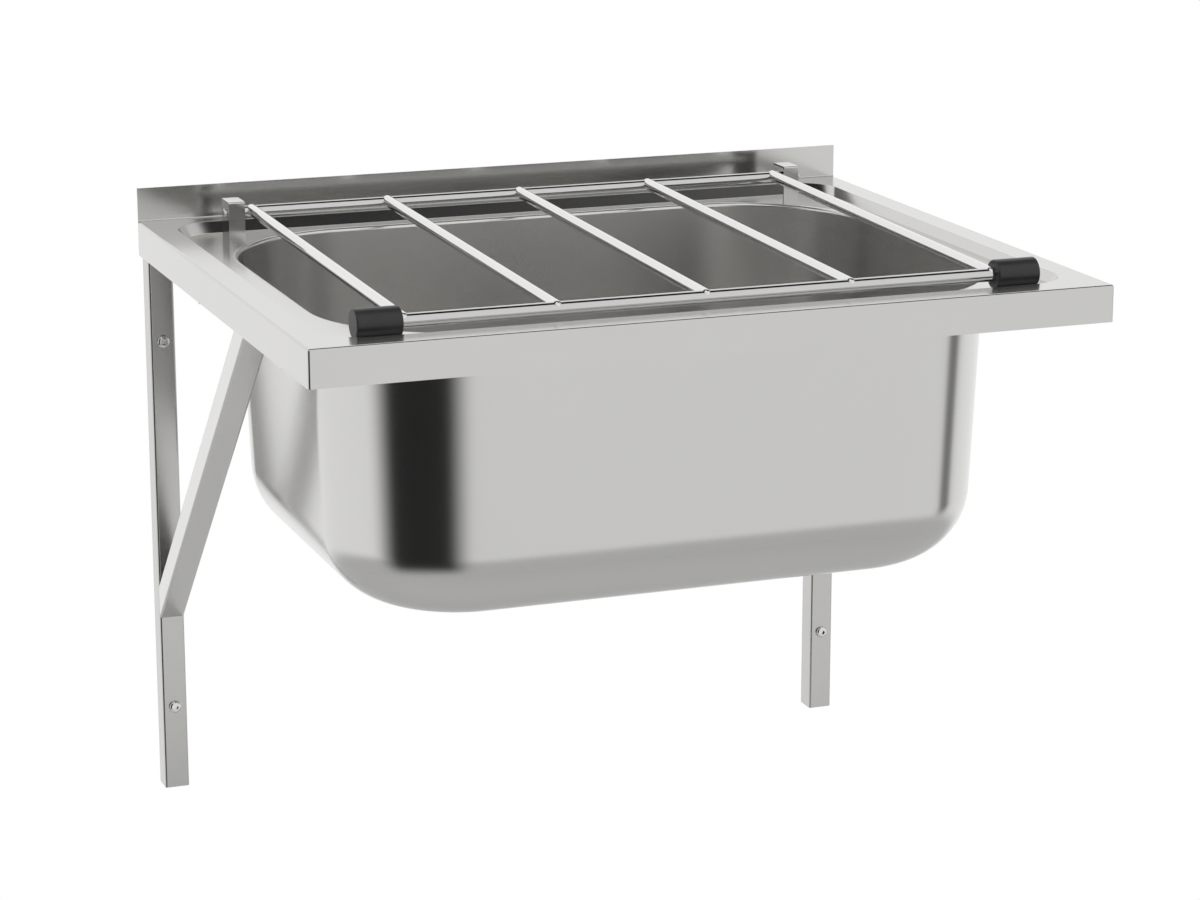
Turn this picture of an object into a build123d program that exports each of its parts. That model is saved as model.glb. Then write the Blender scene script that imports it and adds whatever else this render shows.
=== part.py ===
from build123d import *

import os
from math import asin, cos, degrees, radians, sqrt, tan

# Wall-hung stainless-steel utility sink with a hinged bucket grating.
# Millimetres. +X is right, +Y points at the wall, +Z is up.
# The origin lies on the wall plane, at the centre of the four wall screws.

# ---- driving dimensions -------------------------------------------------

WIDTH = 600.0            # worktop, left to right
DEPTH = 490.0            # worktop, front to wall
SHEET = 1.2              # stainless sheet of the worktop and bowl
RIM_Z = 246.0            # top of the rim above the origin
APRON = 27.3             # turned-down edge, measured from the rim
UPSTAND = 26.3           # turned-up edge at the wall, above the rim
EDGE_R = 2.0             # outside bend radius of the worktop edges

RECESS_SIDE = 20.5       # rim width beside the recess
RECESS_FRONT = 22.5      # rim width in front of the recess
RECESS_REAR = 20.0       # rim width behind the recess
RECESS_DEPTH = 7.0
RECESS_TAPER = 4.5       # how far the side and front walls lean in over the depth
RECESS_REAR_TAPER = 14.0 # the rear wall is a shallow ramp
RECESS_R = 33.0

BOWL_HALF_X = 260.1      # weld line round the bowl's flange
BOWL_HALF_Y = 203.5
BOWL_Y = -249.0          # centre of the bowl
BOWL_CORNER_R = 111.0
BOWL_FLANGE = 1.0        # flat outside the lip bend
BOWL_LIP_R = 3.0
BOWL_BOTTOM_R = 55.0
BOWL_DRAFT = 2.5         # degrees
BOWL_FLOOR = 222.3       # inside depth below the rim

SEAT_R = 46.0            # pressed seat for the waste
SEAT_DEPTH = 3.0
WASTE_HOLE_R = 30.0
FLANGE_R = 42.0          # strainer flange
SEAL = 1.0               # ring seal under the strainer flange
GASKET = 3.0             # gasket between the bowl and the waste body
CUP_R = 28.5             # strainer cup
CUP_DEPTH = 9.0
BODY_R = 40.0            # waste body below the bowl
BODY_H = 10.0
OUTLET_R = 23.9          # outlet spigot, one and a half inch pipe thread
OUTLET_H = 19.0
WASTE_SCREW_R = 3.0

TUBE = 20.0              # square tube of the wall brackets
TUBE_WALL = 1.5
TUBE_R = 2.0             # outside corner radius of the tube
LEG_X = 287.5            # centre of a leg, left and right
LEG_FOOT_Z = -221.0      # lower end of the legs
ARM_FRONT_Y = -440.0     # front end of the arms
ARM_GAP = 0.2            # arm below the underside of the recess
STRUT_LEG_Z = -61.6      # height of the strut's axis at the leg's front face
PLUG_DEPTH = 14.0        # plugs that close the open tube ends, flush
PLUG_WALL = 2.0

STUD_Z = 152.0           # wall screws, above and below the origin
STUD_R = 3.0
STUD_NECK_R = 2.8        # plain shank inside the leg
SCREW_HOLE_R = 3.2
STUD_BEHIND_WALL = 20.0
STUD_TIP = 6.0
STUD_POINT_R = 0.4
SCREW_HEAD_R = 5.0
SCREW_HEAD_H = 3.0
SCREW_HEAD_ROUND = 2.2
SCREW_SOCKET_R = 2.0      # hexagon socket in the head, across flats
SCREW_SOCKET_H = 1.8

FIX_Y = (-150.0, -380.0)      # weld studs that hold the worktop to the arms
FIX_R = 2.5
FIX_TAIL = 9.0                # stud length below the arm
FIX_WASHER_R = 5.0
FIX_WASHER_H = 1.0
FIX_NUT_FLATS = 8.0
FIX_NUT_H = 4.0
SPACER_R = 5.5

GRATE_X = 1.5            # middle of the grating
FRAME_BAR_R = 5.0        # front and rear bars
CROSS_BAR_R = 4.5
CROSS_RISE = 1.5         # cross bars above the frame bars' plane
CROSS_PITCH = 110.8
CROSS_COUNT = 5
HINGE_Y = -49.0
HINGE_Z = RIM_Z + 11.0
FRONT_BAR_Y = -444.2
FRONT_BAR_END = 253.0
BUFFER_R = 10.8
BUFFER_IN = 224.0        # buffer ends, from the middle of the grating
BUFFER_OUT = 257.0
BUFFER_GAP = 0.3         # buffers just clear of the recess floor

LUG_SHEET = 1.5          # hinge lugs
LUG_IN = 229.0
LUG_OUT = 242.0
LUG_FRONT_Y = -56.0
LUG_REAR_Y = -34.5
LUG_TOP_Z = RIM_Z + 20.5
LUG_EDGE_R = 1.2
PIVOT_R = 2.0
PIVOT_CLEARANCE = 0.05
PIVOT_HEAD_R = 3.6
PIVOT_HEAD_H = 2.4
PIVOT_GRIP = 12.0        # thread length inside the rear bar
END_GAP = 0.3            # side play of the grating at each lug

# ---- worked out ---------------------------------------------------------

SIDES = {"left": -1, "right": 1}
FLOOR_Z = RIM_Z - RECESS_DEPTH
BOWL_BASE_Z = RIM_Z - BOWL_FLOOR
SEAT_Z = BOWL_BASE_Z - SEAT_DEPTH
ARM_TOP_Z = FLOOR_Z - SHEET - ARM_GAP
ARM_LOW_Z = ARM_TOP_Z - TUBE
FRONT_BAR_Z = FLOOR_Z + BUFFER_R + BUFFER_GAP
REAR_BAR_END = LUG_OUT - LUG_SHEET - END_GAP
GRATE_RUN = HINGE_Y - FRONT_BAR_Y
GRATE_DROP = HINGE_Z - FRONT_BAR_Z
GRATE_LENGTH = sqrt(GRATE_RUN**2 + GRATE_DROP**2)
GRATE_TILT = degrees(asin(GRATE_DROP / GRATE_LENGTH))


# ---- helpers ------------------------------------------------------------

def block(x0, x1, y0, y1, z0, z1):
    """A box given by its two corners."""
    middle = ((x0 + x1) / 2, (y0 + y1) / 2, (z0 + z1) / 2)
    return Pos(*middle) * Box(x1 - x0, y1 - y0, z1 - z0)


def rod_x(radius, x0, x1, y, z):
    """A round bar along X."""
    return Pos((x0 + x1) / 2, y, z) * Rot(0, 90, 0) * Cylinder(radius, abs(x1 - x0))


def rod_y(radius, y0, y1, x, z):
    """A round bar along Y."""
    return Pos(x, (y0 + y1) / 2, z) * Rot(90, 0, 0) * Cylinder(radius, abs(y1 - y0))


def rod_z(radius, z0, z1, x, y):
    """A round bar along Z."""
    return Pos(x, y, (z0 + z1) / 2) * Cylinder(radius, abs(z1 - z0))


def turned(points, x=0.0, y=0.0):
    """A body turned about a vertical axis from an outline of (radius, z) points."""
    outline = make_face(Plane.XZ * Polyline(*points, close=True))
    return Pos(x, y, 0) * revolve(outline, Axis.Z)


def tube(length):
    """Square tube standing on the origin."""
    inside = TUBE - 2 * TUBE_WALL
    outer = RectangleRounded(TUBE, TUBE, TUBE_R)
    inner = RectangleRounded(inside, inside, TUBE_R - TUBE_WALL)
    return extrude(outer - inner, length)


def plug():
    """Tube plug: a cup that closes the tube flush at the origin and points up into it."""
    inside = TUBE - 2 * TUBE_WALL
    body = extrude(RectangleRounded(inside, inside, TUBE_R - TUBE_WALL), PLUG_DEPTH)
    hollow = inside - 2 * PLUG_WALL
    return body - extrude(Pos(0, 0, PLUG_WALL) * Rectangle(hollow, hollow), PLUG_DEPTH)


# ---- worktop ------------------------------------------------------------

def recess_block(grow):
    """The solid that fills the pressed recess, grown outward for its underside."""
    slope = RECESS_TAPER / RECESS_DEPTH
    rear_slope = RECESS_REAR_TAPER / RECESS_DEPTH
    out = grow * sqrt(1 + slope ** 2)
    rear_out = grow * sqrt(1 + rear_slope ** 2)
    layers = []
    for z in (SHEET, -RECESS_DEPTH - grow):
        x_half = WIDTH / 2 - RECESS_SIDE + out + z * slope
        y_front = -DEPTH + RECESS_FRONT - out - z * slope
        y_rear = -RECESS_REAR + rear_out + z * rear_slope
        outline = RectangleRounded(2 * x_half, y_rear - y_front, RECESS_R + out + z * slope)
        layers.append(Pos(0, (y_front + y_rear) / 2, RIM_Z + z) * outline)
    return loft(layers)


def make_worktop():
    """Pressed sheet: rim, recess, aprons on three sides and the upstand at the wall."""
    half = WIDTH / 2
    low = RIM_Z - APRON
    body = block(-half, half, -DEPTH, 0, low, RIM_Z)
    body = fillet(body.edges().filter_by(Axis.Z).group_by(Axis.Y)[0], EDGE_R)
    rim_edges = body.faces().sort_by(Axis.Z)[-1].edges()
    body = fillet([edge for edge in rim_edges if edge.center().Y < -1], EDGE_R)
    body += block(-half, half, -SHEET, 0, RIM_Z - EDGE_R, RIM_Z + UPSTAND)
    cavity = block(-half + SHEET, half - SHEET, -DEPTH + SHEET, 1, low - 1, RIM_Z - SHEET)
    body -= cavity - recess_block(SHEET)
    body -= recess_block(0)
    opening = RectangleRounded(2 * BOWL_HALF_X, 2 * BOWL_HALF_Y, BOWL_CORNER_R)
    return body - extrude(Pos(0, BOWL_Y, FLOOR_Z - 2 * SHEET) * opening, 4 * SHEET)


# ---- bowl ---------------------------------------------------------------

def bowl_line(offset):
    """Section of the bowl's wall, from the weld line to the corner's centre, moved outward."""
    lean = tan(radians(BOWL_DRAFT))
    lip_run = BOWL_LIP_R * tan(radians((90 - BOWL_DRAFT) / 2))
    z_top = FLOOR_Z - offset
    z_low = BOWL_BASE_Z - offset
    x_top = BOWL_CORNER_R - BOWL_FLANGE - lip_run + offset / cos(radians(BOWL_DRAFT)) - offset * lean
    x_low = x_top - (z_top - z_low) * lean
    points = [(BOWL_CORNER_R, z_top), (x_top, z_top), (x_low, z_low), (0, z_low)]
    return FilletPolyline(*points, radius=[BOWL_LIP_R - offset, BOWL_BOTTOM_R + offset])


def make_bowl():
    """Deep-drawn bowl with a rolled lip, leaning walls and a pressed seat for the waste."""
    inner = bowl_line(0)
    outer = bowl_line(SHEET)
    ends = Line(inner @ 0, outer @ 0) + Line(inner @ 1, outer @ 1)
    section = Plane.XZ * make_face(inner + outer + ends)
    corner = revolve(section, Axis.Z, 90)
    cx = BOWL_HALF_X - BOWL_CORNER_R
    cy = BOWL_HALF_Y - BOWL_CORNER_R
    pieces = []
    for turn, x, y, run in ((0, cx, -cy, cy), (90, cx, cy, cx), (180, -cx, cy, cy), (270, -cx, -cy, cx)):
        side = extrude(section, 2 * run, dir=(0, 1, 0))
        pieces.append(Pos(x, y, 0) * Rot(0, 0, turn) * side)
        pieces.append(Pos(x, y, 0) * Rot(0, 0, turn - 90) * corner)
    base = block(-cx, cx, -cy, cy, BOWL_BASE_Z - SHEET, BOWL_BASE_Z)
    bowl = Pos(0, BOWL_Y, 0) * base.fuse(*pieces)
    bowl -= rod_z(SEAT_R, BOWL_BASE_Z - 5, BOWL_BASE_Z + 5, 0, BOWL_Y)
    seat_in = SEAT_R - SEAT_DEPTH
    seat_under = seat_in - SHEET * tan(radians(22.5))
    seat = [
        (SEAT_R, BOWL_BASE_Z),
        (seat_in, SEAT_Z),
        (WASTE_HOLE_R, SEAT_Z),
        (WASTE_HOLE_R, SEAT_Z - SHEET),
        (seat_under, SEAT_Z - SHEET),
        (SEAT_R, BOWL_BASE_Z - SHEET),
    ]
    return bowl + turned(seat, 0, BOWL_Y)


# ---- wall brackets ------------------------------------------------------

def make_leg(side):
    """Upright tube on the wall, drilled for its two wall screws."""
    leg = Pos(side * LEG_X, -TUBE / 2, LEG_FOOT_Z) * tube(RIM_Z - SHEET - LEG_FOOT_Z)
    for z in (STUD_Z, -STUD_Z):
        leg -= rod_y(SCREW_HOLE_R, -TUBE - 1, 1, side * LEG_X, z)
    return leg


def make_arm(side):
    """Level tube under the rim, from the leg to the front, drilled for the weld studs."""
    length = -TUBE - ARM_FRONT_Y
    arm = Pos(side * LEG_X, -TUBE, ARM_TOP_Z - TUBE / 2) * Rot(90, 0, 0) * tube(length)
    for y in FIX_Y:
        arm -= rod_z(FIX_R, ARM_LOW_Z - 1, ARM_TOP_Z + 1, side * LEG_X, y)
    return arm


def make_strut(side):
    """Diagonal tube at 45 degrees, mitred to the leg's face and the arm's underside."""
    reach = (ARM_LOW_Z - STRUT_LEG_Z) * sqrt(2)
    bar = Pos(0, 0, -TUBE) * tube(reach + 2 * TUBE)
    bar = Pos(side * LEG_X, -TUBE, STRUT_LEG_Z) * Rot(45, 0, 0) * bar
    keep = block(side * LEG_X - TUBE, side * LEG_X + TUBE, -DEPTH, -TUBE, LEG_FOOT_Z, ARM_LOW_Z)
    return bar & keep


def make_leg_plug(side):
    return Pos(side * LEG_X, -TUBE / 2, LEG_FOOT_Z) * plug()


def make_arm_plug(side):
    return Pos(side * LEG_X, ARM_FRONT_Y, ARM_TOP_Z - TUBE / 2) * Rot(-90, 0, 0) * plug()


def make_wall_screws():
    """Four pan-head screws through the legs; their tails stand out behind the wall plane."""
    screws = []
    for side in SIDES.values():
        for z in (STUD_Z, -STUD_Z):
            tip_z = TUBE + STUD_BEHIND_WALL
            thread = STUD_BEHIND_WALL - STUD_TIP
            neck = Pos(0, 0, TUBE / 2) * Cylinder(STUD_NECK_R, TUBE)
            shank = neck + Pos(0, 0, TUBE + thread / 2) * Cylinder(STUD_R, thread)
            tip = Pos(0, 0, tip_z - STUD_TIP / 2) * Cone(STUD_R, STUD_POINT_R, STUD_TIP)
            head = Pos(0, 0, -SCREW_HEAD_H / 2) * Cylinder(SCREW_HEAD_R, SCREW_HEAD_H)
            head = fillet(head.edges().sort_by(Axis.Z)[0], SCREW_HEAD_ROUND)
            hexagon = RegularPolygon(SCREW_SOCKET_R, 6, major_radius=False)
            socket = extrude(Pos(0, 0, -SCREW_HEAD_H) * hexagon, SCREW_SOCKET_H)
            screw = shank + tip + (head - socket)
            screws.append(Pos(side * LEG_X, -TUBE, z) * Rot(-90, 0, 0) * screw)
    return Compound(children=screws)


# ---- worktop fixings ----------------------------------------------------

def at_fixings(shape):
    """One copy of a fixing at each of the four weld studs."""
    copies = []
    for side in SIDES.values():
        for y in FIX_Y:
            copies.append(Pos(side * LEG_X, y, 0) * shape)
    return Compound(children=copies)


def ring_z(outer, inner, z0, z1):
    """A flat ring about the Z axis."""
    return rod_z(outer, z0, z1, 0, 0) - rod_z(inner, z0 - 1, z1 + 1, 0, 0)


def make_fixing_studs():
    return at_fixings(rod_z(FIX_R, ARM_LOW_Z - FIX_TAIL, RIM_Z - SHEET, 0, 0))


def make_fixing_spacers():
    return at_fixings(ring_z(SPACER_R, FIX_R, ARM_TOP_Z, RIM_Z - SHEET))


def make_fixing_washers():
    return at_fixings(ring_z(FIX_WASHER_R, FIX_R, ARM_LOW_Z - FIX_WASHER_H, ARM_LOW_Z))


def make_fixing_nuts():
    top = ARM_LOW_Z - FIX_WASHER_H
    outline = RegularPolygon(FIX_NUT_FLATS / 2, 6, major_radius=False) - Circle(FIX_R)
    return at_fixings(Pos(0, 0, top) * extrude(outline, -FIX_NUT_H))


# ---- bucket grating -----------------------------------------------------

def make_hinge_lug(side):
    """Bent lug on the recess floor: outer cheek with the pivot hole, front plate, top flange."""
    inner_x, outer_x = sorted((side * LUG_IN + GRATE_X, side * LUG_OUT + GRATE_X))
    lug = block(inner_x, outer_x, LUG_FRONT_Y, LUG_REAR_Y, FLOOR_Z, LUG_TOP_Z)
    bends = lug.edges().filter_by(Axis.X).group_by(Axis.Z)[-1].sort_by(Axis.Y)[0]
    lug = fillet(bends, LUG_EDGE_R)
    hollow_in, hollow_out = inner_x - 1, outer_x - LUG_SHEET
    if side < 0:
        hollow_in, hollow_out = inner_x + LUG_SHEET, outer_x + 1
    front = LUG_FRONT_Y + LUG_SHEET
    lug -= block(hollow_in, hollow_out, front, LUG_REAR_Y + 1, FLOOR_Z - 1, LUG_TOP_Z - LUG_SHEET)
    hole = PIVOT_R + PIVOT_CLEARANCE
    return lug - rod_x(hole, GRATE_X + side * (LUG_OUT - 5), GRATE_X + side * (LUG_OUT + 5), HINGE_Y, HINGE_Z)


def make_rear_bar():
    """Hinge bar between the lugs, tapped at both ends for the pivot screws."""
    bar = rod_x(FRAME_BAR_R, GRATE_X - REAR_BAR_END, GRATE_X + REAR_BAR_END, HINGE_Y, HINGE_Z)
    bar = chamfer(bar.edges().filter_by(GeomType.CIRCLE), 0.4)
    for side in SIDES.values():
        depth = GRATE_X + side * (REAR_BAR_END - PIVOT_GRIP)
        bar -= rod_x(PIVOT_R, depth, GRATE_X + side * (REAR_BAR_END + 1), HINGE_Y, HINGE_Z)
    return bar


def make_front_bar():
    start, end = GRATE_X - FRONT_BAR_END, GRATE_X + FRONT_BAR_END
    return rod_x(FRAME_BAR_R, start, end, FRONT_BAR_Y, FRONT_BAR_Z)


def make_cross_bar(number):
    """Round-ended bar that lies across the frame bars and is welded to both."""
    x = GRATE_X + (number - (CROSS_COUNT - 1) / 2) * CROSS_PITCH
    bar = Cylinder(CROSS_BAR_R, GRATE_LENGTH)
    for end in (-GRATE_LENGTH / 2, GRATE_LENGTH / 2):
        bar += Pos(0, 0, end) * Sphere(CROSS_BAR_R)
    middle_y = (HINGE_Y + FRONT_BAR_Y) / 2
    middle_z = (HINGE_Z + FRONT_BAR_Z) / 2
    bar = Pos(x, middle_y, middle_z) * Rot(GRATE_TILT, 0, 0) * Pos(0, 0, CROSS_RISE) * Rot(90, 0, 0) * bar
    bar -= rod_x(FRAME_BAR_R, x - 10, x + 10, HINGE_Y, HINGE_Z)
    return bar - rod_x(FRAME_BAR_R, x - 10, x + 10, FRONT_BAR_Y, FRONT_BAR_Z)


def make_buffer(side, cross_bar):
    """Rubber sleeve with a closed outer end, pushed onto the front bar against the outer cross bar."""
    start, end = GRATE_X + side * BUFFER_IN, GRATE_X + side * BUFFER_OUT
    sleeve = rod_x(BUFFER_R, start, end, FRONT_BAR_Y, FRONT_BAR_Z)
    sleeve = fillet(sleeve.edges().filter_by(GeomType.CIRCLE), 1.2)
    tip = GRATE_X + side * FRONT_BAR_END
    return sleeve - rod_x(FRAME_BAR_R, start - side, tip, FRONT_BAR_Y, FRONT_BAR_Z) - cross_bar


def make_pivot_screws():
    """Two screws that turn in the lugs' cheeks and are threaded into the rear bar."""
    screws = []
    head_x = LUG_OUT + END_GAP
    for side in SIDES.values():
        root = GRATE_X + side * (REAR_BAR_END - PIVOT_GRIP)
        under = GRATE_X + side * head_x
        outside = GRATE_X + side * (head_x + PIVOT_HEAD_H)
        head = rod_x(PIVOT_HEAD_R, under, outside, HINGE_Y, HINGE_Z)
        head = fillet(head.edges().sort_by(Axis.X)[0 if side < 0 else -1], 0.9)
        socket = extrude(RegularPolygon(1.5, 6, major_radius=False), 1.4, both=True)
        head -= Pos(outside, HINGE_Y, HINGE_Z) * Rot(0, 90, 0) * socket
        screws.append(head + rod_x(PIVOT_R, root, under, HINGE_Y, HINGE_Z))
    return Compound(children=screws)


# ---- waste --------------------------------------------------------------

def make_waste_seal():
    """Ring seal between the strainer flange and the bowl's seat."""
    return Pos(0, BOWL_Y, 0) * ring_z(FLANGE_R - 1, WASTE_HOLE_R, SEAT_Z, SEAT_Z + SEAL)


def make_waste_strainer():
    """Dished flange with a cup whose base is pierced by a ring of holes."""
    top = SEAT_Z + SEAL
    cup_z = top - CUP_DEPTH
    outline = [
        (WASTE_SCREW_R, cup_z),
        (CUP_R, cup_z),
        (CUP_R, top),
        (FLANGE_R, top),
        (FLANGE_R, top + 0.8),
        (CUP_R + 3, top + 1.6),
        (CUP_R - 1.5, top),
        (CUP_R - 1.5, cup_z + 1.5),
        (WASTE_SCREW_R, cup_z + 1.5),
    ]
    strainer = turned(outline)
    for radius, count, hole in ((11.0, 6, 3.0), (20.5, 10, 3.2)):
        for place in PolarLocations(radius, count):
            strainer -= place * rod_z(hole, cup_z - 1, cup_z + 3, 0, 0)
    return Pos(0, BOWL_Y, 0) * strainer


def make_waste_gasket():
    """Flat gasket between the underside of the bowl and the waste body."""
    low = SEAT_Z - SHEET - GASKET
    return Pos(0, BOWL_Y, 0) * ring_z(BODY_R, WASTE_HOLE_R, low, low + GASKET)


def make_waste_body():
    """Moulded waste body: a flanged cup, a spider with a boss for the screw, and the outlet."""
    top = SEAT_Z - SHEET - GASKET
    low = top - BODY_H
    end = low - OUTLET_H
    wall = 3.0
    outline = [
        (WASTE_HOLE_R, top),
        (BODY_R, top),
        (BODY_R, top - 4),
        (WASTE_HOLE_R + wall, top - 4),
        (WASTE_HOLE_R + wall, low),
        (OUTLET_R, low - 4),
        (OUTLET_R, end),
        (OUTLET_R - wall, end),
        (OUTLET_R - wall, low),
        (WASTE_HOLE_R, low + 2),
    ]
    body = turned(outline)
    boss_low = low - 10
    body += rod_z(WASTE_SCREW_R + 3, boss_low, low, 0, 0)
    spider = block(-OUTLET_R + 1, OUTLET_R - 1, -1.5, 1.5, boss_low, low)
    body += spider + Rot(0, 0, 90) * spider
    body -= rod_z(WASTE_SCREW_R, boss_low - 1, low + 1, 0, 0)
    return Pos(0, BOWL_Y, 0) * body


def make_waste_screw():
    """Centre screw that clamps the strainer to the waste body."""
    head_z = SEAT_Z + SEAL - CUP_DEPTH + 1.5
    low = SEAT_Z - SHEET - GASKET - BODY_H - 9
    head = rod_z(5.5, head_z, head_z + 3, 0, 0)
    head = fillet(head.edges().sort_by(Axis.Z)[-1], 1.4)
    slot = block(-6, 6, -0.8, 0.8, head_z + 1.6, head_z + 4)
    return Pos(0, BOWL_Y, 0) * (head - slot + rod_z(WASTE_SCREW_R, low, head_z, 0, 0))


# ---- the whole sink -----------------------------------------------------

def make_parts():
    """Every node of the sink, by name."""
    parts = {"worktop": make_worktop(), "bowl": make_bowl()}
    cross_bars = [make_cross_bar(number) for number in range(CROSS_COUNT)]
    for number, bar in enumerate(cross_bars, start=1):
        parts[f"grating_cross_bar_{number}"] = bar
    for name, side in SIDES.items():
        parts[f"leg_{name}"] = make_leg(side)
        parts[f"arm_{name}"] = make_arm(side)
        parts[f"strut_{name}"] = make_strut(side)
        parts[f"leg_plug_{name}"] = make_leg_plug(side)
        parts[f"arm_plug_{name}"] = make_arm_plug(side)
        parts[f"hinge_lug_{name}"] = make_hinge_lug(side)
        outer_bar = cross_bars[0] if side < 0 else cross_bars[-1]
        parts[f"grating_buffer_{name}"] = make_buffer(side, outer_bar)
    parts["wall_screws"] = make_wall_screws()
    parts["fixing_studs"] = make_fixing_studs()
    parts["fixing_spacers"] = make_fixing_spacers()
    parts["fixing_washers"] = make_fixing_washers()
    parts["fixing_nuts"] = make_fixing_nuts()
    parts["grating_rear_bar"] = make_rear_bar()
    parts["grating_front_bar"] = make_front_bar()
    parts["pivot_screws"] = make_pivot_screws()
    parts["waste_seal"] = make_waste_seal()
    parts["waste_strainer"] = make_waste_strainer()
    parts["waste_gasket"] = make_waste_gasket()
    parts["waste_body"] = make_waste_body()
    parts["waste_screw"] = make_waste_screw()
    return parts


os.makedirs("parts", exist_ok=True)
for node, shape in make_parts().items():
    export_step(shape, f"parts/{node}.step")
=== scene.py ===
from math import cos, pi, radians, sin, tan

import bmesh
import bpy
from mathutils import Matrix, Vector


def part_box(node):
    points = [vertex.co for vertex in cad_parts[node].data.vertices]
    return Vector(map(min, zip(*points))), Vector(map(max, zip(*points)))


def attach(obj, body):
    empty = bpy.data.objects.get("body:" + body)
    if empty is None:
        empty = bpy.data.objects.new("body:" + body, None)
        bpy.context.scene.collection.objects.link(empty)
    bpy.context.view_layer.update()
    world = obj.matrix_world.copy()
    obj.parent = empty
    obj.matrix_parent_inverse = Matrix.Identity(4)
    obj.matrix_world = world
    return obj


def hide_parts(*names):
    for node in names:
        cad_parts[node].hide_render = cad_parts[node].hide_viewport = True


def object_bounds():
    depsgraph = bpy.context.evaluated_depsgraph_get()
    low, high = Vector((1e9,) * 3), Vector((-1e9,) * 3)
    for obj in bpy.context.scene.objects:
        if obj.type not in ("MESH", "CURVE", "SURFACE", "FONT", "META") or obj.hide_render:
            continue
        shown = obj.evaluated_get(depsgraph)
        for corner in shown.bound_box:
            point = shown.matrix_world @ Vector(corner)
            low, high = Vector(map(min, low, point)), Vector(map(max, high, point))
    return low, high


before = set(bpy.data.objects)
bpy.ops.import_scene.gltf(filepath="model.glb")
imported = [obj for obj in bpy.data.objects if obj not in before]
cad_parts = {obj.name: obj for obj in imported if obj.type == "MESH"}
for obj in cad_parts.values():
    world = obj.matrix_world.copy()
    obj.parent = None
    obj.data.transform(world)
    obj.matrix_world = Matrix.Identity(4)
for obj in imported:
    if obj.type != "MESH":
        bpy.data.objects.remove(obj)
cad_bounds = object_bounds()
scene = bpy.context.scene
MM = 0.001

# ---- sizes, in metres, worked out from the frame --------------------------

top_low, top_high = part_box("worktop")
bowl_low, bowl_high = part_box("bowl")

SHEET = 1.2 * MM
EDGE_R = 2.0 * MM                    # bend between rim and apron
UPSTAND = 26.3 * MM
UPSTAND_BEND_R = 0.8 * MM
RIM_Z = top_high.z - UPSTAND
FLOOR_Z = bowl_high.z                # recess floor
RECESS_TAPER = 4.5 * MM              # side and front walls
RECESS_REAR_TAPER = 14.0 * MM        # the rear wall is a shallow ramp
RECESS_R = 33.0 * MM
RECESS_SIDE = 20.5 * MM
RECESS_FRONT = 22.5 * MM
RECESS_REAR = 20.0 * MM
RECESS_BEND_R = 2.5 * MM
BOWL_CORNER_R = 111.0 * MM
BOWL_FLANGE = 1.0 * MM
BOWL_LIP_R = 3.0 * MM
BOWL_BOTTOM_R = 55.0 * MM
BOWL_DRAFT = radians(2.5)
BOWL_BASE_Z = RIM_Z - 222.3 * MM
BOWL_HALF = Vector(((bowl_high.x - bowl_low.x) / 2, (bowl_high.y - bowl_low.y) / 2))
BOWL_Y = (bowl_high.y + bowl_low.y) / 2
SEAT_R = 46.0 * MM                   # pressed seat for the waste
SEAT_BEND_RUN = 1.5 * MM
SEAT_BEND_DROP = 0.3 * MM
SEAT_DEPTH = 3.0 * MM
WASTE_HOLE_R = 30.0 * MM


# ---- node helpers ---------------------------------------------------------

def node(tree, kind, **inputs):
    """Adds a shader node and sets its unlinked inputs by name."""
    made = tree.nodes.new(kind)
    for key, value in inputs.items():
        made.inputs[key].default_value = value
    return made


def connect(tree, value, socket):
    """Sets a socket to a number, or links another socket to it."""
    if isinstance(value, (int, float)):
        socket.default_value = value
    else:
        tree.links.new(value, socket)


def math_node(tree, operation, *values):
    made = tree.nodes.new("ShaderNodeMath")
    made.operation = operation
    for socket, value in zip(made.inputs, values):
        connect(tree, value, socket)
    return made.outputs[0]


def window(tree, value, low, high, soft):
    """1 between low and high, falling smoothly to 0 over soft on both sides."""
    sides = []
    for start, end in ((low - soft, low + soft), (high + soft, high - soft)):
        ramp = tree.nodes.new("ShaderNodeMapRange")
        ramp.interpolation_type = "SMOOTHSTEP"
        ramp.inputs["From Min"].default_value = start
        ramp.inputs["From Max"].default_value = end
        tree.links.new(value, ramp.inputs["Value"])
        sides.append(ramp.outputs[0])
    return math_node(tree, "MULTIPLY", *sides)


# ---- studio light ---------------------------------------------------------

AMBIENT = 1.14
# (azimuth, elevation, softness of each, level): degrees, azimuth clockwise from the wall
LIGHT_ZONES = (
    ((-112, 80), (-40, 42), (8, 8), 1.27),        # light panels at the sides and behind
    ((-400, 400), (-95, -27), (8, 5), 0.74),      # floor, all round
    ((-165, -99), (-42, 42), (12, 9), 0.03),      # gap at the front left
    ((88, 101), (-24, 40), (3, 6), 0.2),          # narrow gap at the right
    ((46, 76), (18, 56), (8, 6), 0.03),           # gap at the rear right
    ((-110, 110), (52, 78), (12, 5), 0.015),      # gap overhead, behind the sink
)


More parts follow.
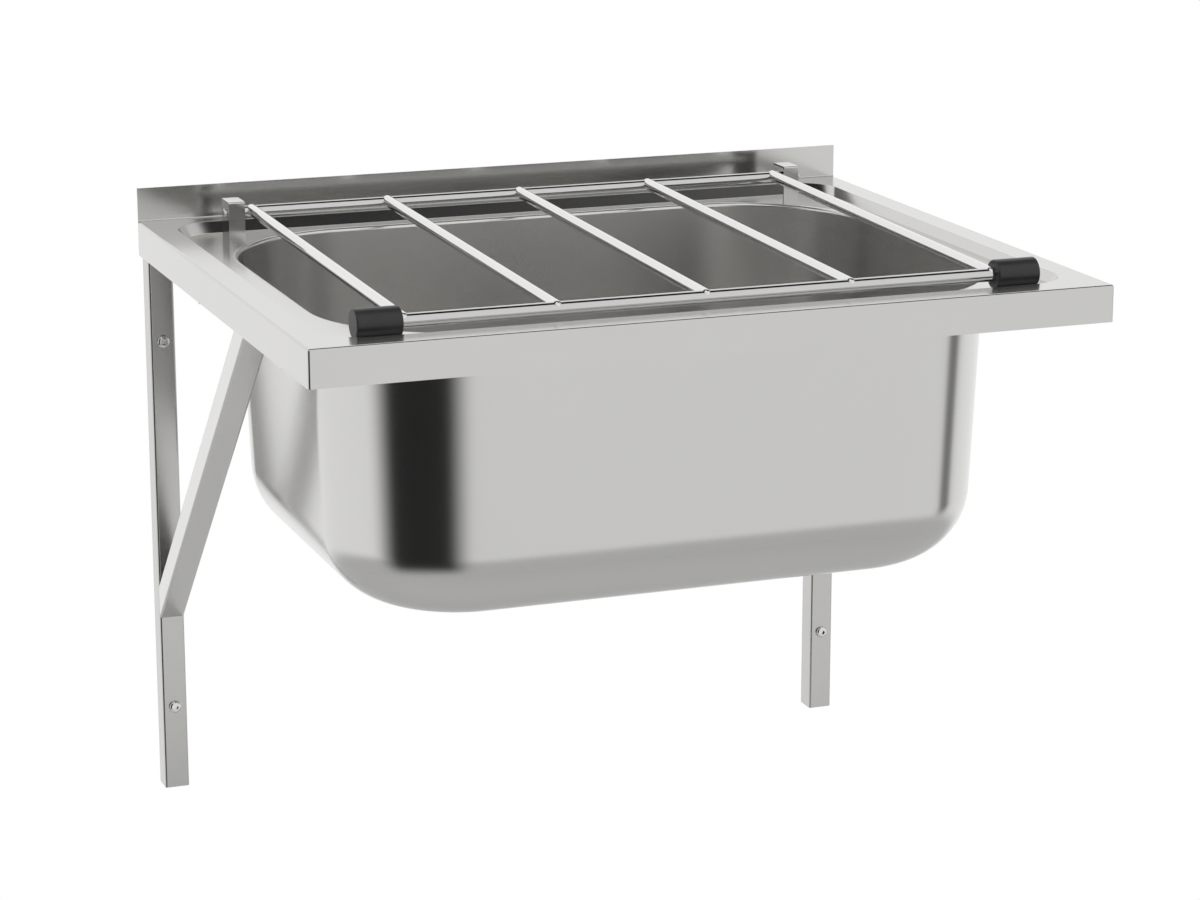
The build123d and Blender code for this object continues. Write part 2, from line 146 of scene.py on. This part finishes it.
def make_world():
    """A soft white studio: pale all round, with a few dark gaps between its light panels."""
    world = bpy.data.worlds.new("studio")
    scene.world = world
    world.use_nodes = True
    tree = world.node_tree
    tree.nodes.clear()
    coords = tree.nodes.new("ShaderNodeTexCoord")
    split = tree.nodes.new("ShaderNodeSeparateXYZ")
    tree.links.new(coords.outputs["Generated"], split.inputs[0])
    turn = math_node(tree, "ARCTAN2", split.outputs["X"], split.outputs["Y"])
    azimuth = math_node(tree, "MULTIPLY", turn, 180 / pi)
    rise = math_node(tree, "ARCSINE", split.outputs["Z"])
    elevation = math_node(tree, "MULTIPLY", rise, 180 / pi)

    light = AMBIENT
    for across, up, (soft_across, soft_up), level in LIGHT_ZONES:
        columns = window(tree, azimuth, *across, soft_across)
        rows = window(tree, elevation, *up, soft_up)
        mix = tree.nodes.new("ShaderNodeMix")
        mix.data_type = "FLOAT"
        tree.links.new(math_node(tree, "MULTIPLY", columns, rows), mix.inputs[0])
        connect(tree, light, mix.inputs[2])
        mix.inputs[3].default_value = level
        light = mix.outputs[0]
    background = tree.nodes.new("ShaderNodeBackground")
    tree.links.new(light, background.inputs["Strength"])
    backdrop = node(tree, "ShaderNodeBackground", Color=(1, 1, 1, 1), Strength=1.0)
    output = tree.nodes.new("ShaderNodeOutputWorld")
    white_to_camera(tree, background, backdrop, output)


def white_to_camera(tree, shader, white, output):
    """Shows white to the camera, and shader to everything else."""
    path = tree.nodes.new("ShaderNodeLightPath")
    mix = tree.nodes.new("ShaderNodeMixShader")
    tree.links.new(path.outputs["Is Camera Ray"], mix.inputs[0])
    tree.links.new(shader.outputs[0], mix.inputs[1])
    tree.links.new(white.outputs[0], mix.inputs[2])
    tree.links.new(mix.outputs[0], output.inputs["Surface"])


CAMERA_AT = (-0.8827, -2.5901, 0.7369)
CAMERA_DOWN = 14.44                  # degrees below the horizon
CAMERA_TURN = -20.568                # degrees about +Z, from facing the wall
LENS = 101.56                        # millimetres, on a 36 mm sensor

FLOOR_R = 0.85
FLOOR_Y = -0.25
FLOOR_DROP = 0.35                    # below the sink's lowest point


def make_camera():
    """A long lens, a little from the left and from above."""
    data = bpy.data.cameras.new("camera")
    data.sensor_width = 36
    data.lens = LENS
    camera = bpy.data.objects.new("camera", data)
    scene.collection.objects.link(camera)
    camera.location = CAMERA_AT
    camera.rotation_euler = (radians(90 - CAMERA_DOWN), 0, radians(CAMERA_TURN))
    scene.camera = camera


def make_floor():
    """A plain pale disc well below the sink, as white as the backdrop."""
    mesh = bpy.data.meshes.new("floor")
    bm = bmesh.new()
    bmesh.ops.create_circle(bm, cap_ends=True, radius=FLOOR_R, segments=96)
    bm.to_mesh(mesh)
    bm.free()
    floor = bpy.data.objects.new("floor", mesh)
    floor.location = (0, FLOOR_Y, cad_bounds[0][2] - FLOOR_DROP)
    scene.collection.objects.link(floor)
    material = bpy.data.materials.new("floor")
    material.use_nodes = True
    tree = material.node_tree
    shader = tree.nodes["Principled BSDF"]
    shader.inputs["Base Color"].default_value = (0.9, 0.9, 0.9, 1)
    shader.inputs["Roughness"].default_value = 0.9
    shader.inputs["Emission Color"].default_value = (1, 1, 1, 1)
    shader.inputs["Emission Strength"].default_value = 0.05
    white = tree.nodes.new("ShaderNodeEmission")
    white_to_camera(tree, shader, white, tree.nodes["Material Output"])
    mesh.materials.append(material)


# ---- materials ------------------------------------------------------------

def new_material(name):
    material = bpy.data.materials.new(name)
    material.use_nodes = True
    tree = material.node_tree
    return material, tree, tree.nodes["Principled BSDF"]


def noise(tree, vector, scale, detail, rough):
    made = node(tree, "ShaderNodeTexNoise", Scale=scale, Detail=detail, Roughness=rough)
    tree.links.new(vector, made.inputs["Vector"])
    return made.outputs["Fac"]


def vary_tone(tree, shader, fac, dark, light):
    """Base colour between two near tones, by a noise."""
    tone = tree.nodes.new("ShaderNodeMix")
    tone.data_type = "RGBA"
    tone.inputs[6].default_value = (*dark, 1)
    tone.inputs[7].default_value = (*light, 1)
    tree.links.new(fac, tone.inputs[0])
    tree.links.new(tone.outputs[2], shader.inputs["Base Color"])


def vary_roughness(tree, shader, fac, rough, spread):
    ramp = tree.nodes.new("ShaderNodeMapRange")
    ramp.inputs["To Min"].default_value = rough - spread
    ramp.inputs["To Max"].default_value = rough + spread
    tree.links.new(fac, ramp.inputs["Value"])
    tree.links.new(ramp.outputs[0], shader.inputs["Roughness"])


def add_relief(tree, shader, height, strength, distance):
    relief = node(tree, "ShaderNodeBump", Strength=strength, Distance=distance)
    tree.links.new(height, relief.inputs["Height"])
    tree.links.new(relief.outputs[0], shader.inputs["Normal"])


def brushed_steel(name, color, rough, grain, spread=0.025, bump=0.03):
    """Stainless steel with fine brushing. grain is the noise scale along X, Y and Z."""
    material, tree, shader = new_material(name)
    shader.inputs["Metallic"].default_value = 1.0
    coords = tree.nodes.new("ShaderNodeTexCoord").outputs["Object"]
    stretch = node(tree, "ShaderNodeMapping", Scale=grain)
    tree.links.new(coords, stretch.inputs["Vector"])
    lines = noise(tree, stretch.outputs[0], 1.0, 5.0, 0.65)
    cloud = noise(tree, coords, 9.0, 3.0, 0.5)
    dark, light = ([c * (1 + change) for c in color] for change in (-0.02, 0.02))
    vary_tone(tree, shader, cloud, dark, light)
    both = math_node(tree, "ADD", lines, cloud)
    vary_roughness(tree, shader, math_node(tree, "MULTIPLY", both, 0.5), rough, spread)
    add_relief(tree, shader, lines, bump, 0.04 * MM)
    return material


def pebbled(name, color, rough, grain, bump):
    """Rubber or moulded plastic with a fine pebbled skin and faint bloom."""
    material, tree, shader = new_material(name)
    coords = tree.nodes.new("ShaderNodeTexCoord").outputs["Object"]
    fine = noise(tree, coords, grain, 4.0, 0.6)
    wide = noise(tree, coords, 60.0, 2.0, 0.5)
    vary_tone(tree, shader, wide, [c * 0.85 for c in color], [c * 1.2 for c in color])
    vary_roughness(tree, shader, fine, rough, 0.06)
    add_relief(tree, shader, fine, bump, 0.1 * MM)
    return material


# noise scales: low along the brushing, high across it
ALONG_X, ALONG_Y, ALONG_Z = (14, 900, 900), (900, 14, 900), (900, 900, 14)
EVEN = (300, 300, 300)
SHEET_STEEL = (0.62, 0.615, 0.60)
# painted shade: the tube steel is a darker copy of the sheet steel, standing in for the shade
# on the legs' and arms' fronts
TUBE_STEEL_PAINTED_SHADE = (0.54, 0.535, 0.52)
STEELS = {
    # color, roughness, grain, then where they differ: roughness spread and relief
    "sheet": (SHEET_STEEL, 0.17, ALONG_X, 0.015, 0.01),
    # painted light: the bowl's inside steel is a lighter copy of the sheet steel, lifting the
    # shade inside the bowl
    "bowl_inside_painted_light": ((0.725, 0.72, 0.705), 0.26, ALONG_Z),
    "bowl_outside": (SHEET_STEEL, 0.17, ALONG_Z),
    "tube_z": (TUBE_STEEL_PAINTED_SHADE, 0.24, ALONG_Z),
    "tube_y": (TUBE_STEEL_PAINTED_SHADE, 0.24, ALONG_Y),
    "strut": ((0.70, 0.695, 0.68), 0.24, ALONG_Z),
    "bar_x": ((0.64, 0.637, 0.63), 0.07, ALONG_X, 0.02, 0.01),
    "bar_y": ((0.77, 0.765, 0.755), 0.07, ALONG_Y, 0.02, 0.01),
    "fastener": ((0.74, 0.735, 0.72), 0.12, EVEN, 0.04, 0.03),
}
SOFT = {
    # color, roughness, grain, relief
    "buffer_rubber": ((0.03, 0.03, 0.031), 0.38, 2400, 0.15),
    "seal_rubber": ((0.03, 0.03, 0.03), 0.6, 1500, 0.4),
    "black_plastic": ((0.03, 0.03, 0.032), 0.5, 1800, 0.4),
    "grey_plastic": ((0.5, 0.51, 0.52), 0.45, 1800, 0.3),
}
materials = {name: brushed_steel(name, *finish) for name, finish in STEELS.items()}
materials.update((name, pebbled(name, *finish)) for name, finish in SOFT.items())


# ---- mesh helpers ---------------------------------------------------------

CORNER_STEPS = 28                    # faces round a corner, and along a side
SIDE_STEPS = 6
APRON_SIDE_STEPS = 8                 # faces along the apron's sides, front and corners
APRON_FRONT_STEPS = 12
APRON_CORNER_STEPS = 8
UPSTAND_STEPS = 8
BEND_STEPS = 6
SHARP_ANGLE = radians(35)
TIP = 1e-7                           # a radius below this closes a turned shape


def even_steps(start, end, steps):
    """Values from start to end, both included."""
    return [start + (end - start) * i / steps for i in range(steps + 1)]


def rounded_loop(half_x, half_y, radius, middle_y, z):
    """Points round a rounded rectangle: from the right rear, clockwise seen from above."""
    cx, cy = half_x - radius, half_y - radius
    corners = (((cx, -cy), 0), ((-cx, -cy), -90), ((-cx, cy), -180), ((cx, cy), -270))
    points = []
    last = Vector((half_x, cy))
    for (px, py), turn in corners:
        angles = [radians(a) for a in even_steps(turn, turn - 90, CORNER_STEPS)]
        arc = [Vector((px + radius * cos(a), py + radius * sin(a))) for a in angles]
        points += [last.lerp(arc[0], i / SIDE_STEPS) for i in range(1, SIDE_STEPS)]
        points += arc
        last = arc[-1]
    return [Vector((x, middle_y + y, z)) for x, y in points]


def skin(bm, paths, closed=True):
    """Quads between successive rows of points."""
    rows = [[bm.verts.new(point) for point in path] for path in paths]
    for outer, inner in zip(rows, rows[1:]):
        count = len(outer)
        for i in range(count if closed else count - 1):
            j = (i + 1) % count
            bm.faces.new((outer[i], outer[j], inner[j], inner[i]))


def bend(corner, before, after, radius, steps=BEND_STEPS):
    """Arc that rounds a corner of a 2-D profile, between the points before and after it."""
    a = (Vector(before) - Vector(corner)).normalized()
    b = (Vector(after) - Vector(corner)).normalized()
    half = a.angle(b) / 2
    reach = radius / tan(half)
    centre = Vector(corner) + (a + b).normalized() * (radius / sin(half))
    start = Vector(corner) + a * reach - centre
    end = Vector(corner) + b * reach - centre
    sweep = start.angle(end)
    side = 1 if start.x * end.y - start.y * end.x > 0 else -1
    points = []
    for i in range(steps + 1):
        t = side * sweep * i / steps
        x = start.x * cos(t) - start.y * sin(t)
        y = start.x * sin(t) + start.y * cos(t)
        points.append((centre.x + x, centre.y + y))
    return points


def turned(bm, profile, start, along, segments=48):
    """Adds a turned shape. profile is (distance, radius), from start in the direction along."""
    along = Vector(along).normalized()
    side = along.orthogonal().normalized()
    up = along.cross(side)
    last = None
    for distance, radius in profile:
        middle = Vector(start) + along * distance
        if radius < TIP:
            row = [bm.verts.new(middle)] * segments
        else:
            turns = [2 * pi * i / segments for i in range(segments)]
            outward = [side * cos(t) + up * sin(t) for t in turns]
            row = [bm.verts.new(middle + way * radius) for way in outward]
        if last:
            for i in range(segments):
                j = (i + 1) % segments
                bm.faces.new(list(dict.fromkeys((last[i], last[j], row[j], row[i]))))
        last = row


def finish_mesh(name, bm, material, body, replaced, thickness=0.0):
    """Turns a bmesh into a smooth piece that rides on a body in place of its CAD nodes."""
    bmesh.ops.remove_doubles(bm, verts=bm.verts, dist=1e-6)
    bmesh.ops.recalc_face_normals(bm, faces=bm.faces)
    for edge in bm.edges:
        edge.smooth = not (edge.is_boundary or edge.calc_face_angle(0) > SHARP_ANGLE)
    for face in bm.faces:
        face.smooth = True
    mesh = bpy.data.meshes.new(name)
    bm.to_mesh(mesh)
    bm.free()
    piece = bpy.data.objects.new(name, mesh)
    scene.collection.objects.link(piece)
    mesh.materials.append(material)
    if thickness:
        solid = piece.modifiers.new("sheet", "SOLIDIFY")
        solid.thickness = thickness
        solid.offset = -1
        solid.use_even_offset = True
    weigh = piece.modifiers.new("weigh", "WEIGHTED_NORMAL")
    weigh.keep_sharp = True
    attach(piece, body)
    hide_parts(*replaced)
    return piece


# ---- worktop and bowl -----------------------------------------------------

def recess_profile():
    """(inset from the recess's top edge, z) down the rear recess wall, with both bends."""
    edge, foot = (0.0, RIM_Z), (RECESS_REAR_TAPER, FLOOR_Z)
    before, after = (-0.02, RIM_Z), (0.05, FLOOR_Z)
    return bend(edge, before, foot, RECESS_BEND_R) + bend(foot, edge, after, RECESS_BEND_R)


def bowl_profile():
    """(inset from the weld line, z) over the lip, down the wall, round the bottom."""
    lip_run = BOWL_LIP_R * tan((pi / 2 - BOWL_DRAFT) / 2)
    x_top = BOWL_FLANGE + lip_run
    x_low = x_top + (FLOOR_Z - BOWL_BASE_Z) * tan(BOWL_DRAFT)
    lip = (x_top, FLOOR_Z)
    foot = (x_low, BOWL_BASE_Z)
    over = bend(lip, (0.0, FLOOR_Z), foot, BOWL_LIP_R, 10)
    under = bend(foot, lip, (x_low + 0.2, BOWL_BASE_Z), BOWL_BOTTOM_R, 20)
    return [(0.0, FLOOR_Z)] + over + under


def apron_path(half, depth, grow, z):
    """The worktop's outline at one height, from the right rear by the front to the left."""
    side, front = half - EDGE_R, -depth + EDGE_R
    along_side = [front * i / APRON_SIDE_STEPS for i in range(APRON_SIDE_STEPS)]
    across = [side * (1 - 2 * i / APRON_FRONT_STEPS) for i in range(1, APRON_FRONT_STEPS)]
    corners = []
    for turn, x in ((0, side), (-90, -side)):
        angles = [radians(a) for a in even_steps(turn, turn - 90, APRON_CORNER_STEPS)]
        corners.append([(x + grow * cos(a), front + grow * sin(a)) for a in angles])
    outline = [(side + grow, y) for y in along_side] + corners[0]
    outline += [(x, front - grow) for x in across] + corners[1]
    outline += [(-side - grow, y) for y in reversed(along_side)]
    return [Vector((x, y, z)) for x, y in outline]


def make_worktop():
    bm = bmesh.new()
    half = (top_high.x - top_low.x) / 2
    depth = top_high.y - top_low.y

    def ring(half_x, front, rear, radius, z):
        return rounded_loop(half_x, (rear - front) / 2, radius, (rear + front) / 2, z)

    # the flat rim, the recess wall and the recess floor, in to the weld line
    rings = [ring(half - EDGE_R, -depth + EDGE_R, 0.0, 0.0, RIM_Z)]
    for inset, z in recess_profile():
        steep = inset * RECESS_TAPER / RECESS_REAR_TAPER
        side = half - RECESS_SIDE - steep
        front = -depth + RECESS_FRONT + steep
        rings.append(ring(side, front, -RECESS_REAR - inset, RECESS_R - steep, z))
    front, rear = BOWL_Y - BOWL_HALF.y, BOWL_Y + BOWL_HALF.y
    rings.append(ring(BOWL_HALF.x, front, rear, BOWL_CORNER_R, FLOOR_Z))
    skin(bm, rings)
    # the apron, down from the rim's edge bend
    turns = even_steps(0, pi / 2, BEND_STEPS)
    apron = [(EDGE_R * sin(t), RIM_Z - EDGE_R * (1 - cos(t))) for t in turns]
    apron.append((EDGE_R, top_low.z))
    skin(bm, [apron_path(half, depth, grow, z) for grow, z in apron], closed=False)
    # the upstand, with a tight bend at its foot
    foot = UPSTAND_BEND_R
    upstand = [(foot * (sin(t) - 1) - SHEET, RIM_Z + foot * (1 - cos(t))) for t in turns]
    upstand.append((-SHEET, top_high.z))
    along = even_steps(-half, half, UPSTAND_STEPS)
    skin(bm, [[(x, y, z) for x in along] for y, z in upstand], closed=False)
    piece = finish_mesh("worktop_sheet", bm, materials["sheet"], "root", ["worktop"], SHEET)


def make_bowl():
    rings = []
    for inset, z in bowl_profile():
        half = BOWL_HALF - Vector((inset, inset))
        rings.append(rounded_loop(half.x, half.y, BOWL_CORNER_R - inset, BOWL_Y, z))
    # flat bottom, then the pressed seat and the waste hole
    for radius, z in (
        (SEAT_R + SEAT_BEND_RUN, BOWL_BASE_Z),
        (SEAT_R, BOWL_BASE_Z - SEAT_BEND_DROP),
        (SEAT_R - SEAT_DEPTH, BOWL_BASE_Z - SEAT_DEPTH),
        (WASTE_HOLE_R, BOWL_BASE_Z - SEAT_DEPTH),
    ):
        rings.append(rounded_loop(radius, radius, radius, BOWL_Y, z))
    bm = bmesh.new()
    skin(bm, rings)
    piece = finish_mesh("bowl_shell", bm, materials["bowl_inside_painted_light"], "root", ["bowl"], SHEET)
    piece.data.materials.append(materials["bowl_outside"])
    piece.modifiers["sheet"].material_offset = 1


# ---- grating --------------------------------------------------------------

BAR_RISE = 1.5 * MM                  # cross bars sit above the frame bars' axes
BAR_END = 0.6 * MM                   # rounding on the frame bars' ends
BUFFER_EDGE_R = 1.2 * MM


def middle(node_name):
    low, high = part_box(node_name)
    return (low + high) / 2


def dome(radius, depth, steps=8):
    """Quarter arc from the tip of a rounded end, depth long, to its full radius."""
    turns = even_steps(0, pi / 2, steps)
    return [(depth * (1 - cos(t)), radius * sin(t)) for t in turns]


def rod_profile(radius, length, tip):
    rise = dome(radius, tip)
    return rise + [(length - d, r) for d, r in reversed(rise)]


def make_bars():
    rear, front = middle("grating_rear_bar"), middle("grating_front_bar")
    slope = (rear.z - front.z) / (rear.y - front.y)
    for number in range(1, 6):
        name = f"grating_cross_bar_{number}"
        low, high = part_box(name)
        x, radius = (low.x + high.x) / 2, (high.x - low.x) / 2
        start, end = (
            Vector((x, y, rear.z + (y - rear.y) * slope + BAR_RISE)) for y in (low.y, high.y)
        )
        bm = bmesh.new()
        profile = rod_profile(radius, (end - start).length, radius)
        turned(bm, profile, start, end - start)
        piece = finish_mesh(f"{name}_rod", bm, materials["bar_y"], "grating", [name])
    for name in ("grating_rear_bar", "grating_front_bar"):
        low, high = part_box(name)
        centre = (low + high) / 2
        bm = bmesh.new()
        profile = rod_profile((high.z - low.z) / 2, high.x - low.x, BAR_END)
        turned(bm, profile, (low.x, centre.y, centre.z), (1, 0, 0))
        piece = finish_mesh(f"{name}_rod", bm, materials["bar_x"], "grating", [name])


def make_buffers():
    """Rubber sleeves with rounded edges, closed at the outer end."""
    bar_low, bar_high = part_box("grating_front_bar")
    bar_r = (bar_high.z - bar_low.z) / 2
    for side, sign in (("left", -1), ("right", 1)):
        name = f"grating_buffer_{side}"
        low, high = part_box(name)
        centre = (low + high) / 2
        radius, length = (high.z - low.z) / 2, high.x - low.x
        edge = BUFFER_EDGE_R
        turns = even_steps(0, pi / 2, BEND_STEPS)
        rounding = [(edge * (1 - sin(t)), radius - edge * (1 - cos(t))) for t in turns]
        closed_end = [(length - d, r) for d, r in rounding]
        profile = [(0.0, bar_r)] + rounding[::-1] + closed_end + [(length, 0.0)]
        bm = bmesh.new()
        start = (centre.x - sign * length / 2, centre.y, centre.z)
        turned(bm, profile, start, (sign, 0, 0), 64)
        piece = finish_mesh(f"{name}_sleeve", bm, materials["buffer_rubber"], "grating", [name])


# ---- carried-over CAD nodes -----------------------------------------------

REPLACED = ("worktop", "bowl", "grating_")
FINISHES = (
    # the start of a node's name, and its material: the first match counts
    ("leg_plug", "black_plastic"),
    ("arm_plug", "black_plastic"),
    ("leg_", "tube_z"),
    ("arm_", "tube_y"),
    ("strut_", "strut"),
    ("hinge_lug", "sheet"),
    ("waste_seal", "seal_rubber"),
    ("waste_gasket", "seal_rubber"),
    ("waste_body", "grey_plastic"),
    ("waste_strainer", "bar_x"),
    ("", "fastener"),
)
LUG_EDGE = 0.4 * MM                  # small rounding on the lugs' cut edges


def finish_cad():
    for name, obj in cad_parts.items():
        if name.startswith(REPLACED):
            continue
        material = next(m for start, m in FINISHES if name.startswith(start))
        obj.data.materials.clear()
        obj.data.materials.append(materials[material])
        if name.startswith("hinge_lug"):
            bevel = obj.modifiers.new("edge", "BEVEL")
            bevel.width = LUG_EDGE
            bevel.segments = 2
            bevel.angle_limit = radians(50)


scene.view_settings.view_transform = "Standard"
make_world()
make_camera()
make_floor()
make_worktop()
make_bowl()
make_bars()
make_buffers()
finish_cad()
